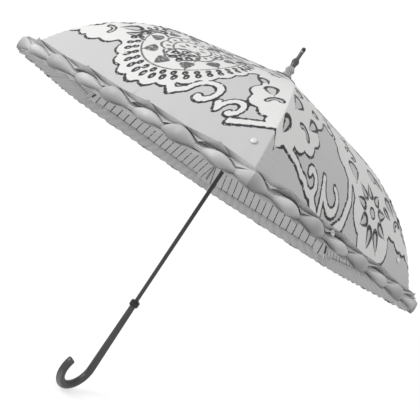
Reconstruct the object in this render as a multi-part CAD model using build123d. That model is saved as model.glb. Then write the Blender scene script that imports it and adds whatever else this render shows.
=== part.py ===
from build123d import *
import math
import os

# Lace parasol, open, as six ribs round a slim steel shaft.
# Frame: the shaft lies on Z with the ferrule up; the origin is the middle of the grip.
# Each node is one separate piece. Lengths are millimetres, angles are degrees.

# ---- driving dimensions -------------------------------------------------------------------
RIB_COUNT = 6
FIRST_RIB_TURN = 30.0        # turn of rib 1 about Z, from +X
RIM_RADIUS = 366.0           # from the shaft's axis to the cloth's hem, along a rib
CROWN_Z = 559.5              # height of the pivots that the ribs hang from
FERRULE_TOP_Z = 630.0

SHAFT_R = 3.75
SHAFT_WALL = 0.7
SHAFT_TOP_Z = 597.0
GRIP_LENGTH = 136.0
GRIP_TOP_R = 5.6
GRIP_END_R = 7.2
SOCKET_DEPTH = 100.0         # how far the shaft goes into the grip
COLLAR_R = 8.8
COLLAR_HEIGHT = 12.0
COLLAR_CHAMFER = 2.0
HOOK_RADIUS = 33.0           # centreline of the crook
HOOK_SWEEP = 215.0
HOOK_TURN = 230.0            # direction that the crook reaches, from +X about Z
HOOK_CAP_LENGTH = 6.0

PIVOT_RADIUS = 10.0          # both rings of pivots, from the shaft's axis
LINK_LENGTH = 172.0          # crown pivot to rib lug, and rib lug to runner pivot
LINK_SLOPE = 20.0            # slope of both links when open
LINK_SWING = 55.0            # how far each rib folds down to close
RIB_STRAIGHT = 195.0         # the rib is straight this far, then bends down
RIB_TIP_SLOPE = 64.0         # slope of its end
RIB_WIDTH = 2.4
RIB_HEIGHT = 2.8
RIB_CHANNEL = (1.2, 1.6)     # width and depth of the channel along the rib's underside
RIB_OVER_PIVOT = 3.0         # the rib's middle passes this far above its pivots
EYE_R = 2.0
WIRE_R = 0.6
WIRE_CLEARANCE = 0.15
SLOT_CLEARANCE = 0.2
STRETCHER_WIDTH = 2.2
STRETCHER_HEIGHT = 2.2
FORK_EAR = 0.8
FORK_REACH = 9.0
PIN_R = 0.8
TOE_PIN_LENGTH = 7.0
RIVET_PROUD = 0.2            # a lug's rivet stands this far out of the fork
STOP_PIN_PROUD = 1.8         # the stop pin stands this far out of the shaft

CROWN_R = 13.5
CROWN_BELOW = 4.0
CROWN_ABOVE = 2.5
CROWN_HUB_R = 7.0
CROWN_HUB_DROP = 7.0
CROWN_BOSS_R = 9.0
CROWN_BOSS_RISE = 3.1
RUNNER_R = 13.5
RUNNER_HALF_HEIGHT = 3.0
RUNNER_TUBE_R = 7.0
RUNNER_BEAD_R = 7.6
RUNNER_BEAD_HEIGHT = 3.0
RUNNER_TUBE_UP = 7.0         # tube's top above the pivots
RUNNER_TUBE_DOWN = 27.0      # tube's bottom below the pivots
RUNNER_CLEARANCE = 0.15
KEYWAY = (2.4, 6.0)          # width, and reach from the axis, of the groove that clears the catches

CATCH_TURN = 120.0           # side of the shaft that both catches come out of
CATCH_PRESS = 2.0            # how far a catch is pressed in
CATCH_WIDTH = 1.6
CATCH_SLOPE_LENGTH = 12.0
CATCH_LEAF = (0.5, 18.0)     # thickness and length of the spring leaf inside the tube
CATCH_GAP = 0.4
CATCH_FLAT = 2.0             # the straight part of a catch's nose, next to its flat face
CATCH_INSET = 0.4            # a catch's root, inside the tube's bore
WINDOW_LIFT = 6.0            # window's bottom edge above the tube's end
WINDOW_UP = 8.0              # window in the runner's tube that the lower catch shows through

CLOTH_THICKNESS = 1.2
CLOTH_GAP = 0.9
CLOTH_INNER_R = 15.0
FOLD_GAP = 0.15              # half of the gap between two stretches of cloth, mid-gore
TRIM_INSET = 2.0             # both hem trims start this far beyond the hem
TRIM_CORNER_R = 385.0        # both hem trims are rounded at the ribs to this distance from the axis
RUFFLE_REACH = 33.0          # the ruffle stands out this far beyond the hem
RUFFLE_RISE = (12.0, -9.0)   # its outer edge, above and below the hem
RUFFLE_ROOT = (10.0, -0.5)   # its inner edge, above and below the hem
FRILL_REACH = 38.0
FRILL_DROP = (14.0, 20.0)    # the frill's outer edge, below the hem
FRILL_ROOT = (1.0, 4.0)
RIB_TIP_LENGTH = 10.0
RIB_TIP_R = 1.9

PATCH_R = 24.0
PATCH_FLAT_R = 14.0
PATCH_THICKNESS = 1.0
WASHER_R = 10.0
WASHER_THICKNESS = 1.1
ROSETTE_HEIGHT = 21.0
ROSETTE_FOOT_R = 11.3
ROSETTE_WAIST_R = 9.0
ROSETTE_WAIST_Z = (4.0, 12.0)   # the waist's start and end above the rosette's foot
ROSETTE_TOP_R = 5.8
FERRULE_CORE_R = 5.0
FERRULE_BEAD_R = 7.0
NECK_HEIGHT = 2.0            # plain neck between the rosette and the bead
BEAD_LIFT = 11.0             # bead's middle above the rosette
BEAD_SHOULDER = 4.0          # the bead's shoulders, above and below its middle
BEAD_CURVE = 1.2             # and in from its widest part
BEAD_TOP = 7.0               # where the bead meets the rod, above its middle
FERRULE_ROD_R = 3.5
TIP_RING_HEIGHT = 1.0
TIP_LENGTH = 9.0
TIP_R = 3.9

# ---- worked-out dimensions ----------------------------------------------------------------
GRIP_TOP_Z = GRIP_LENGTH / 2
GRIP_END_Z = -GRIP_LENGTH / 2
COLLAR_TOP_Z = GRIP_TOP_Z + COLLAR_HEIGHT
BORE_R = SHAFT_R - SHAFT_WALL
RUNNER_Z = CROWN_Z - 2 * LINK_LENGTH * math.sin(math.radians(LINK_SLOPE))
RUNNER_TRAVEL = 2 * LINK_LENGTH * (
    math.sin(math.radians(LINK_SLOPE + LINK_SWING)) - math.sin(math.radians(LINK_SLOPE)))
LUG_R = PIVOT_RADIUS + LINK_LENGTH * math.cos(math.radians(LINK_SLOPE))
LUG_Z = CROWN_Z - LINK_LENGTH * math.sin(math.radians(LINK_SLOPE))
SLOT_WIDTH = RIB_WIDTH + 2 * SLOT_CLEARANCE
EAR_INNER = RIB_WIDTH / 2 + SLOT_CLEARANCE
EAR_OUTER = EAR_INNER + FORK_EAR
BOSS_TOP_Z = CROWN_Z + CROWN_ABOVE + CROWN_BOSS_RISE
WASHER_Z = BOSS_TOP_Z + PATCH_THICKNESS
ROSETTE_Z = WASHER_Z + WASHER_THICKNESS
FLAT_FACTOR = math.cos(math.radians(180 / RIB_COUNT))
RIB_TURNS = [FIRST_RIB_TURN + 360 / RIB_COUNT * k for k in range(RIB_COUNT)]
CLOTH_RISE = RIB_OVER_PIVOT + RIB_HEIGHT / 2 + CLOTH_GAP + CLOTH_THICKNESS


def rib_line():
    """End of the rib's straight part as (r, z), and the radius of its bend, along the pivots' line."""
    slope = math.radians(LINK_SLOPE)
    tip_slope = math.radians(RIB_TIP_SLOPE)
    knee = (PIVOT_RADIUS + RIB_STRAIGHT * math.cos(slope), CROWN_Z - RIB_STRAIGHT * math.sin(slope))
    inset = CLOTH_RISE * math.sin(tip_slope)
    bend = (RIM_RADIUS - inset - knee[0]) / (math.sin(tip_slope) - math.sin(slope))
    return knee, bend


KNEE, BEND_R = rib_line()
RIB_END_SLOPE = RIB_TIP_SLOPE - math.degrees(RIB_TIP_LENGTH / BEND_R)
BEND_CENTRE = (KNEE[0] - BEND_R * math.sin(math.radians(LINK_SLOPE)),
               KNEE[1] - BEND_R * math.cos(math.radians(LINK_SLOPE)))


def ridge_point(slope, rise):
    """Point of the bent part where the rib slopes down by slope, rise above the pivots' line."""
    reach = BEND_R + rise
    turn = math.radians(slope)
    return BEND_CENTRE[0] + reach * math.sin(turn), BEND_CENTRE[1] + reach * math.cos(turn)


def straight_point(radius, rise):
    """Point of the straight part at a radius, rise above the pivots' line."""
    slope = math.radians(LINK_SLOPE)
    return radius, CROWN_Z - (radius - PIVOT_RADIUS) * math.tan(slope) + rise / math.cos(slope)


def ridge_band(inner_r, low, high, end_slope, squeeze=1.0):
    """Face in the XZ plane between two rises over the rib's line; squeeze narrows it along X."""
    def at(point):
        return point[0] * squeeze, point[1]

    middle = (LINK_SLOPE + end_slope) / 2
    top = [at(ridge_point(s, high)) for s in (LINK_SLOPE, middle, end_slope)]
    bottom = [at(ridge_point(s, low)) for s in (end_slope, middle, LINK_SLOPE)]
    with BuildSketch(Plane.XZ) as sketch:
        with BuildLine():
            start = at(straight_point(inner_r, high))
            finish = at(straight_point(inner_r, low))
            Line(start, top[0])
            ThreePointArc(*top)
            Line(top[2], bottom[0])
            ThreePointArc(*bottom)
            Line(bottom[2], finish)
            Line(finish, start)
        make_face()
    return sketch.sketch.face()


def thicken(face, width):
    """A face of the XZ plane made a plate of that width, half on each side."""
    return extrude(face, width / 2, both=True)


def turned(shape, angle):
    return shape.rotate(Axis.Z, angle)


def disc(radius, low, high, bore=0.0):
    """A round plate or tube round the shaft, from one height to another."""
    part = Pos(0, 0, (low + high) / 2) * Cylinder(radius, high - low)
    if bore:
        part -= Pos(0, 0, (low + high) / 2) * Cylinder(bore, high - low + 2)
    return part


def lathe(points):
    """A turned piece from its half outline of (radius, height) points."""
    with BuildSketch(Plane.XZ) as sketch:
        Polygon(*points, align=None)
    return revolve(sketch.sketch.face(), Axis.Z)


def side_cylinder(radius, length, r, z):
    """A round pin or hole along Y, at a radius and height."""
    return Pos(r, 0, z) * Rot(90, 0, 0) * Cylinder(radius, length)


def side_box(x_range, width, z_range):
    """A box centred on the XZ plane."""
    centre = Pos((x_range[0] + x_range[1]) / 2, 0, (z_range[0] + z_range[1]) / 2)
    return centre * Box(x_range[1] - x_range[0], width, z_range[1] - z_range[0])


# ---- shaft, handle and ferrule ------------------------------------------------------------
def catch_slot(low, high):
    """Slot in the shaft's wall that a catch comes out of."""
    width = CATCH_WIDTH + 2 * SLOT_CLEARANCE
    return turned(side_box((BORE_R * 0.6, SHAFT_R + 1), width, (low, high)), CATCH_TURN)


UPPER_CATCH_Z = RUNNER_Z - RUNNER_TUBE_DOWN - CATCH_GAP
WINDOW_Z = -RUNNER_TUBE_DOWN + WINDOW_LIFT      # window's bottom edge, from the runner's pivots
WINDOW_HEIGHT = CATCH_SLOPE_LENGTH + WINDOW_UP - WINDOW_LIFT
LOWER_CATCH_Z = RUNNER_Z - RUNNER_TRAVEL + WINDOW_Z + CATCH_GAP
STOP_PIN_Z = RUNNER_Z + RUNNER_TUBE_UP + CATCH_GAP + PIN_R


def make_shaft():
    bottom = GRIP_TOP_Z - SOCKET_DEPTH
    tube = disc(SHAFT_R, bottom, SHAFT_TOP_Z, BORE_R)
    tube -= side_cylinder(PIN_R, 4 * SHAFT_R, 0, STOP_PIN_Z)
    tube -= catch_slot(UPPER_CATCH_Z - CATCH_SLOPE_LENGTH - SLOT_CLEARANCE, UPPER_CATCH_Z + SLOT_CLEARANCE)
    tube -= catch_slot(LOWER_CATCH_Z - SLOT_CLEARANCE, LOWER_CATCH_Z + CATCH_SLOPE_LENGTH + SLOT_CLEARANCE)
    return tube


def hook_frame():
    """Plane of the crook's path: its X reaches out from the shaft, its Y goes up."""
    return Plane(origin=(0, 0, GRIP_END_Z), x_dir=(1, 0, 0), z_dir=(0, -1, 0))


def hook_tube(start_angle, end_angle, radius):
    """Round bar along the crook's circle, between two angles from its start."""
    def on_circle(angle):
        turn = math.radians(180 + angle)
        return HOOK_RADIUS + HOOK_RADIUS * math.cos(turn), HOOK_RADIUS * math.sin(turn)

    plane = hook_frame()
    middle = (start_angle + end_angle) / 2
    with BuildLine(plane) as path:
        ThreePointArc(on_circle(start_angle), on_circle(middle), on_circle(end_angle))
    with BuildSketch(Plane(origin=path.line @ 0, z_dir=path.line % 0)) as section:
        Circle(radius)
    return sweep(section.sketch, path.line)


def make_handle():
    with BuildSketch(Plane.XZ) as half:
        Polygon((0, GRIP_END_Z), (GRIP_END_R, GRIP_END_Z), (GRIP_TOP_R, GRIP_TOP_Z), (0, GRIP_TOP_Z),
                align=None)
    grip = revolve(half.sketch.face(), Axis.Z)
    cap_angle = math.degrees(HOOK_CAP_LENGTH / HOOK_RADIUS)
    handle = grip + hook_tube(0, HOOK_SWEEP - cap_angle, GRIP_END_R)
    handle -= disc(SHAFT_R, GRIP_TOP_Z - SOCKET_DEPTH, GRIP_TOP_Z + 1)
    return turned(handle, HOOK_TURN)


def make_crook_cap():
    cap_angle = math.degrees(HOOK_CAP_LENGTH / HOOK_RADIUS)
    cap = hook_tube(HOOK_SWEEP - cap_angle, HOOK_SWEEP, GRIP_END_R)
    end_edges = cap.edges().filter_by(GeomType.CIRCLE)
    turn = math.radians(180 + HOOK_SWEEP)
    end = Vector(HOOK_RADIUS + HOOK_RADIUS * math.cos(turn), 0, GRIP_END_Z + HOOK_RADIUS * math.sin(turn))
    outer = sorted(end_edges, key=lambda edge: (edge.arc_center - end).length)[0]
    return turned(fillet(outer, HOOK_CAP_LENGTH / 2), HOOK_TURN)


def make_collar():
    collar = disc(COLLAR_R, GRIP_TOP_Z, COLLAR_TOP_Z, SHAFT_R)
    rims = [edge for edge in collar.edges().filter_by(GeomType.CIRCLE) if edge.radius > SHAFT_R + 1]
    return chamfer(rims, COLLAR_CHAMFER)


def make_rosette():
    """Gathered cloth round the ferrule's foot: a flared foot, a waist and a bulge."""
    top = ROSETTE_Z + ROSETTE_HEIGHT
    waist_low, waist_high = ROSETTE_WAIST_Z
    outline = [(FERRULE_CORE_R, ROSETTE_Z), (ROSETTE_FOOT_R, ROSETTE_Z),
               (ROSETTE_WAIST_R, ROSETTE_Z + waist_low), (ROSETTE_WAIST_R, ROSETTE_Z + waist_high),
               (ROSETTE_TOP_R, top), (FERRULE_CORE_R, top)]
    return lathe(outline)


def make_ferrule():
    """Turned finial: a core under the rosette, a bead and a slim rod."""
    core_top = ROSETTE_Z + ROSETTE_HEIGHT
    rod_top = FERRULE_TOP_Z - TIP_LENGTH - TIP_RING_HEIGHT
    bead = core_top + BEAD_LIFT
    shoulder_r = FERRULE_BEAD_R - BEAD_CURVE
    outline = [(0, ROSETTE_Z), (FERRULE_CORE_R, ROSETTE_Z), (FERRULE_CORE_R, core_top + NECK_HEIGHT),
               (shoulder_r, bead - BEAD_SHOULDER), (FERRULE_BEAD_R, bead), (shoulder_r, bead + BEAD_SHOULDER),
               (FERRULE_ROD_R, bead + BEAD_TOP), (FERRULE_ROD_R, rod_top), (0, rod_top)]
    return lathe(outline) - disc(SHAFT_R, ROSETTE_Z - 1, SHAFT_TOP_Z)


def make_tip_ring():
    top = FERRULE_TOP_Z - TIP_LENGTH
    return disc(TIP_R, top - TIP_RING_HEIGHT, top)


def make_ferrule_tip():
    tip = disc(TIP_R, FERRULE_TOP_Z - TIP_LENGTH, FERRULE_TOP_Z)
    return fillet(tip.edges().group_by(Axis.Z)[-1], TIP_R * 0.8)


# ---- crown, runner and catches ------------------------------------------------------------
def radial_slots(low, high):
    """The six open slots that ribs or stretchers sit in."""
    slot = side_box((CROWN_HUB_R + 0.6, CROWN_R + 2), SLOT_WIDTH, (low, high))
    return [turned(slot, angle) for angle in RIB_TURNS]


def make_crown():
    low = CROWN_Z - CROWN_BELOW
    high = CROWN_Z + CROWN_ABOVE
    crown = disc(CROWN_R, low, high) + disc(CROWN_HUB_R, low - CROWN_HUB_DROP, low)
    crown += disc(CROWN_BOSS_R, high, BOSS_TOP_Z)
    for slot in radial_slots(low - 1, high):
        crown -= slot
    half_groove = WIRE_R + 0.05
    crown -= disc(CROWN_R + 1, CROWN_Z - half_groove, CROWN_Z + half_groove,
                  PIVOT_RADIUS - half_groove)
    return crown - disc(SHAFT_R, low - CROWN_HUB_DROP - 1, BOSS_TOP_Z + 1)


def make_crown_wire():
    return Pos(0, 0, CROWN_Z) * Torus(PIVOT_RADIUS, WIRE_R)


def make_crown_washer():
    return disc(WASHER_R, WASHER_Z, WASHER_Z + WASHER_THICKNESS, SHAFT_R)


def make_apex_patch():
    """Round of doubled cloth over the crown, flat under the washer, then sloping onto the ribs."""
    slope = math.tan(math.radians(LINK_SLOPE))
    drop = (PATCH_R - PATCH_FLAT_R) * slope
    low, high = BOSS_TOP_Z, BOSS_TOP_Z + PATCH_THICKNESS
    return lathe([(SHAFT_R, low), (PATCH_FLAT_R, low), (PATCH_R, low - drop), (PATCH_R, high - drop),
                  (PATCH_FLAT_R, high), (SHAFT_R, high)])


def make_runner():
    low, high = RUNNER_Z - RUNNER_HALF_HEIGHT, RUNNER_Z + RUNNER_HALF_HEIGHT
    bottom, top = RUNNER_Z - RUNNER_TUBE_DOWN, RUNNER_Z + RUNNER_TUBE_UP
    runner = disc(RUNNER_R, low, high) + disc(RUNNER_TUBE_R, bottom, top)
    runner += disc(RUNNER_BEAD_R, bottom, bottom + RUNNER_BEAD_HEIGHT)
    toe_slot = side_box((PIVOT_RADIUS - PIN_R - SLOT_CLEARANCE, PIVOT_RADIUS + PIN_R + SLOT_CLEARANCE),
                        TOE_PIN_LENGTH + 2 * SLOT_CLEARANCE, (low - 1, RUNNER_Z + PIN_R + 0.1))
    for slot, angle in zip(radial_slots(low - 1, high + 1), RIB_TURNS):
        runner -= slot + turned(toe_slot, angle)
    runner -= disc(SHAFT_R + RUNNER_CLEARANCE, bottom - 1, top + 1)
    runner -= turned(side_box((0, KEYWAY[1]), KEYWAY[0], (bottom - 1, top + 1)), CATCH_TURN)
    window = side_box((0, RUNNER_TUBE_R + 1), KEYWAY[0],
                      (RUNNER_Z + WINDOW_Z, RUNNER_Z + WINDOW_Z + WINDOW_HEIGHT))
    return runner - turned(window, CATCH_TURN)


def make_catch(catch_z, upwards):
    """Sprung catch: a wedge that stands out of the shaft, with its flat face at catch_z."""
    way = -1 if upwards else 1
    nose_r = SHAFT_R + CATCH_PRESS
    root_r = BORE_R - CATCH_INSET
    leaf, length = CATCH_LEAF
    points = [(root_r, catch_z), (nose_r, catch_z), (nose_r, catch_z + way * CATCH_FLAT),
              (SHAFT_R - SLOT_CLEARANCE, catch_z + way * CATCH_SLOPE_LENGTH),
              (root_r, catch_z + way * CATCH_SLOPE_LENGTH)]
    with BuildSketch(Plane.XZ) as sketch:
        Polygon(*points, align=None)
    catch = thicken(sketch.sketch.face(), CATCH_WIDTH)
    ends = sorted((catch_z, catch_z + way * length))
    catch += side_box((root_r - leaf, root_r), CATCH_WIDTH, ends)
    return turned(catch, CATCH_TURN)


def make_stop_pin():
    return side_cylinder(PIN_R, 2 * (SHAFT_R + STOP_PIN_PROUD), 0, STOP_PIN_Z)


# ---- ribs and stretchers (modelled towards +X, then turned to their places) ------------------
def make_rib():
    low, high = RIB_OVER_PIVOT - RIB_HEIGHT / 2, RIB_OVER_PIVOT + RIB_HEIGHT / 2
    rib = thicken(ridge_band(PIVOT_RADIUS, low, high, RIB_END_SLOPE), RIB_WIDTH)
    width, depth = RIB_CHANNEL
    channel_start = LUG_R + 4 * EYE_R
    rib -= thicken(ridge_band(channel_start, low - 1, low + depth, RIB_TIP_SLOPE + 1), width)
    for r, z, inner in ((PIVOT_RADIUS, CROWN_Z, 0.0), (LUG_R, LUG_Z, -EYE_R)):
        web = side_box((inner, EYE_R), RIB_WIDTH, (0, RIB_OVER_PIVOT))
        rib += side_cylinder(EYE_R, RIB_WIDTH, r, z) + Pos(r, 0, z) * Rot(0, LINK_SLOPE, 0) * web
    rib -= side_cylinder(WIRE_R + WIRE_CLEARANCE, 2 * RIB_WIDTH, PIVOT_RADIUS, CROWN_Z)
    rib -= side_cylinder(PIN_R + 0.1, 2 * RIB_WIDTH, LUG_R, LUG_Z)
    return rib


def make_stretcher():
    """Straight link with a fork at the rib's lug and an eye at the runner, built along +X."""
    bar_start = FORK_REACH - EYE_R
    ears = side_box((0, FORK_REACH), 2 * EAR_OUTER, (-EYE_R, EYE_R))
    ears += side_cylinder(EYE_R, 2 * EAR_OUTER, 0, 0)
    ears -= side_box((-2 * EYE_R, bar_start), 2 * EAR_INNER, (-2 * EYE_R, 2 * EYE_R))
    bar = side_box((bar_start, LINK_LENGTH), STRETCHER_WIDTH, (-STRETCHER_HEIGHT / 2, STRETCHER_HEIGHT / 2))
    link = ears + bar + side_cylinder(EYE_R - 0.1, STRETCHER_WIDTH, LINK_LENGTH, 0)
    link -= side_cylinder(PIN_R, 4 * EAR_OUTER, 0, 0)
    link -= side_cylinder(PIN_R, 4 * EAR_OUTER, LINK_LENGTH, 0)
    return place_link(link)


def place_link(shape):
    """Puts what is built from the lug along +X onto the line from the rib's lug to the runner."""
    return Pos(LUG_R, 0, LUG_Z) * Rot(0, 180 - LINK_SLOPE, 0) * shape


def make_stretcher_pins():
    """The lug's rivet and the toe pin that sits in the runner, as two separate solids."""
    rivet = side_cylinder(PIN_R, 2 * (EAR_OUTER + RIVET_PROUD), 0, 0)
    toe = side_cylinder(PIN_R, TOE_PIN_LENGTH, LINK_LENGTH, 0)
    return place_link(rivet + toe)


def make_rib_tip():
    """Cup over the rib's end, in line with it, that the cloth's corner is sewn to."""
    r, z = ridge_point(RIB_END_SLOPE, RIB_OVER_PIVOT)
    cup = Cylinder(RIB_TIP_R, RIB_TIP_LENGTH, align=(Align.CENTER, Align.CENTER, Align.MIN))
    cup = fillet(cup.edges().group_by(Axis.Z)[-1], RIB_TIP_R * 0.7)
    return Pos(r, 0, z) * Rot(0, 90 + RIB_END_SLOPE, 0) * cup


# ---- cloth --------------------------------------------------------------------------------
def gore_band(face):
    """A stretch of cloth centred on a rib, creased over it, flat across to each mid-gore."""
    half_gore = math.radians(180 / RIB_COUNT)
    reach = 2 * RIM_RADIUS
    band = turned(extrude(face, reach, both=True), 180 / RIB_COUNT)
    sector = Polygon((0, 0), (reach, 0), (reach, reach * math.tan(half_gore)), align=None)
    wedge = extrude(sector, FERRULE_TOP_Z)
    wedge = wedge & (Pos(0, -FOLD_GAP / math.cos(half_gore), 0) * wedge)
    half = band & wedge
    return half + mirror(half, about=Plane.XZ)


HEM_Z_AT_CLOTH = ridge_point(RIB_TIP_SLOPE, CLOTH_RISE)[1]


def hem_trim(points):
    """A trim along the hem, rounded at the rib, from (beyond the hem, above the hem) points."""
    with BuildSketch(Plane.XZ) as sketch:
        Polygon(*[((RIM_RADIUS + x) * FLAT_FACTOR, HEM_Z_AT_CLOTH + z) for x, z in points], align=None)
    return gore_band(sketch.sketch.face()) & disc(TRIM_CORNER_R, 0, CROWN_Z)


def make_canopy():
    return gore_band(ridge_band(CLOTH_INNER_R, CLOTH_RISE - CLOTH_THICKNESS, CLOTH_RISE, RIB_TIP_SLOPE,
                                FLAT_FACTOR))


def make_ruffle():
    rise, drop = RUFFLE_RISE
    root_rise, root_drop = RUFFLE_ROOT
    return hem_trim([(TRIM_INSET, root_drop), (TRIM_INSET, root_rise), (RUFFLE_REACH, rise),
                     (RUFFLE_REACH, drop)])


def make_frill():
    high, low = FRILL_DROP
    root_high, root_low = FRILL_ROOT
    return hem_trim([(TRIM_INSET, -root_low), (TRIM_INSET, -root_high), (FRILL_REACH, -high),
                     (FRILL_REACH, -low)])


# ---- all the nodes --------------------------------------------------------------------------
def build():
    nodes = {
        "shaft": make_shaft(),
        "crook_handle": make_handle(),
        "crook_end_cap": make_crook_cap(),
        "handle_collar": make_collar(),
        "crown": make_crown(),
        "crown_wire": make_crown_wire(),
        "crown_washer": make_crown_washer(),
        "apex_patch": make_apex_patch(),
        "ferrule_rosette": make_rosette(),
        "ferrule": make_ferrule(),
        "ferrule_tip_ring": make_tip_ring(),
        "ferrule_tip": make_ferrule_tip(),
        "stop_pin": make_stop_pin(),
        "runner": make_runner(),
        "upper_catch": make_catch(UPPER_CATCH_Z, True),
        "lower_catch": make_catch(LOWER_CATCH_Z, False),
    }
    per_rib = {
        "rib": make_rib(),
        "rib_tip": make_rib_tip(),
        "stretcher": make_stretcher(),
        "stretcher_pins": make_stretcher_pins(),
        "canopy": make_canopy(),
        "hem_ruffle": make_ruffle(),
        "hem_frill": make_frill(),
    }
    for name, shape in per_rib.items():
        for number, angle in enumerate(RIB_TURNS, 1):
            nodes[f"{name}_{number}"] = turned(shape, angle)
    return nodes


os.makedirs("parts", exist_ok=True)
for node, shape in build().items():
    export_step(shape, f"parts/{node}.step")
print("runner pivots at z", round(RUNNER_Z, 3), "travel", round(RUNNER_TRAVEL, 3))
print("rib hinge ratio, radians per metre:", round(math.radians(LINK_SWING) / RUNNER_TRAVEL * 1000, 6))
print("lug at r, z:", round(LUG_R, 3), round(LUG_Z, 3), "hem cloth z:", round(HEM_Z_AT_CLOTH, 2))
print("upper catch z:", round(UPPER_CATCH_Z, 2), "lower catch z:", round(LOWER_CATCH_Z, 2))
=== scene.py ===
"""Lace parasol: the cloth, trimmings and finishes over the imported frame."""

import math

import bpy
import numpy as np
from bpy.props import FloatProperty, FloatVectorProperty, IntProperty, PointerProperty
from mathutils import Matrix, Vector


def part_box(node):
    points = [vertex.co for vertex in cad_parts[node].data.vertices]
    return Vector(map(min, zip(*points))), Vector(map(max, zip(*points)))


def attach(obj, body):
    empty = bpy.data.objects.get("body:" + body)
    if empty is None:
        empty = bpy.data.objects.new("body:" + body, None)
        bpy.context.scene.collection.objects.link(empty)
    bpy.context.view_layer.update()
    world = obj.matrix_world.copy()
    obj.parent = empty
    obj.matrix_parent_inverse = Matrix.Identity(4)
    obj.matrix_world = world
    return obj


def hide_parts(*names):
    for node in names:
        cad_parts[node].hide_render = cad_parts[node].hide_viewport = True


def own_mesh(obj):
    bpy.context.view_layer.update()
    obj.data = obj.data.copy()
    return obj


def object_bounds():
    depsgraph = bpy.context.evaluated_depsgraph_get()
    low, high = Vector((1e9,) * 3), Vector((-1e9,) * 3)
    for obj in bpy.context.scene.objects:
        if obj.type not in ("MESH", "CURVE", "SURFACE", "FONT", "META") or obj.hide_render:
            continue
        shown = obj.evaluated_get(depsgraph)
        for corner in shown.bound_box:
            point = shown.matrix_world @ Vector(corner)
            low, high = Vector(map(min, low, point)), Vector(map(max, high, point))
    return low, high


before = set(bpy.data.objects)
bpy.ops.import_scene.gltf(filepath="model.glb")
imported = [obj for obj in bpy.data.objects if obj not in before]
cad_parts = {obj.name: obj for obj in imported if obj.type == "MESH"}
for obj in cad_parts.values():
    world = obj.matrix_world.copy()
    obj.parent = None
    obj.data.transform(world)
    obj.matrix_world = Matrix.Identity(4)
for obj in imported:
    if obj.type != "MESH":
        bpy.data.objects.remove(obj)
CAD_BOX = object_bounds()

bl_info = {
    "name": "Lace parasol",
    "version": (1, 0, 0),
    "blender": (4, 5, 0),
    "location": "3D View > Sidebar > Parasol",
    "description": "Builds the lace canopy, ruffles, frill and finishes of a parasol",
    "category": "Object",
}

MM = 0.001
RIBS = range(1, 7)
RIB_STEP = math.radians(60)
FIRST_RIB_TURN = math.radians(30)
MAIN_RIBS = (1, 3, 5)

# The line that the ribs follow, in millimetres from the shaft's axis and from the frame's origin.
PIVOT_RADIUS = 10.0
CROWN_Z = 559.5
LINK_SLOPE = math.radians(20.0)
TIP_SLOPE = math.radians(64.0)
STRAIGHT = 195.0
CLOTH_RISE = 6.5
RIM = 366.0
KNEE = np.array((PIVOT_RADIUS + STRAIGHT * math.cos(LINK_SLOPE), CROWN_Z - STRAIGHT * math.sin(LINK_SLOPE)))
BEND = (RIM - CLOTH_RISE * math.sin(TIP_SLOPE) - KNEE[0]) / (math.sin(TIP_SLOPE) - math.sin(LINK_SLOPE))
BEND_CENTRE = KNEE - BEND * np.array((math.sin(LINK_SLOPE), math.cos(LINK_SLOPE)))
RIDGE_LENGTH = STRAIGHT + BEND * (TIP_SLOPE - LINK_SLOPE)


# ---------------------------------------------------------------- sizes and colours


class ParasolSizes(bpy.types.PropertyGroup):
    """Sizes of the cloth that a maker would change"""

    lace_relief: FloatProperty(
        name="Lace relief", description="How far the lace stands above the net", default=0.0006, unit="LENGTH"
    )
    panel_sag: FloatProperty(
        name="Panel sag", description="How far a panel dips between two ribs", default=0.003, unit="LENGTH"
    )
    pintuck_pitch: FloatProperty(
        name="Pintuck pitch", description="Distance between the lining's dark pintucks", default=0.0183,
        unit="LENGTH"
    )
    ruffle_points: IntProperty(
        name="Ruffle points", description="Folded points of the ruffle in each panel", default=4, min=1
    )
    frill_pleats: IntProperty(
        name="Frill pleats", description="Knife pleats of the frill in each panel", default=17, min=4
    )
    rosette_flutes: IntProperty(
        name="Rosette flutes", description="Gathers round the foot of the ferrule", default=13, min=3
    )
    pearl: FloatProperty(name="Pearl", description="Diameter of a sewn pearl", default=0.0076, unit="LENGTH")


class ParasolColours(bpy.types.PropertyGroup):
    """Colours of the cloth and fittings, linear"""

    net: FloatVectorProperty(
        name="Net", description="Sheer ground between the lace", subtype="COLOR", default=(0.66, 0.66, 0.665)
    )
    lace: FloatVectorProperty(name="Lace", description="Corded lace", subtype="COLOR",
        default=(0.93, 0.93, 0.92))
    outline: FloatVectorProperty(
        name="Outline", description="Thread round the lace", subtype="COLOR", default=(0.035, 0.035, 0.037)
    )
    satin: FloatVectorProperty(name="Satin", description="Ruffle", subtype="COLOR",
        default=(0.52, 0.52, 0.525))
    organza: FloatVectorProperty(
        name="Organza", description="Pleated frill", subtype="COLOR", default=(0.5, 0.5, 0.505)
    )
    lining: FloatVectorProperty(name="Lining", description="Inner cloth", subtype="COLOR",
        default=(0.62, 0.62, 0.625))
    lacquer: FloatVectorProperty(
        name="Lacquer", description="Shaft and handle", subtype="COLOR", default=(0.075, 0.075, 0.079)
    )


class ParasolStudio(bpy.types.PropertyGroup):
    """Camera and light"""

    lens: FloatProperty(name="Lens", description="Focal length in millimetres", default=37.82)
    distance: FloatProperty(name="Distance", description="Camera to its aim point", default=0.799,
        unit="LENGTH")
    key_power: FloatProperty(name="Key light", description="Power of the soft key light", default=9.5,
        unit="POWER")
    sky: FloatProperty(name="Sky", description="Strength of the light from all round", default=0.54)
    floor_glow: FloatProperty(name="Floor glow", description="Light that the pale floor gives off",
        default=0.5)


# ---------------------------------------------------------------- shader maths


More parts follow.
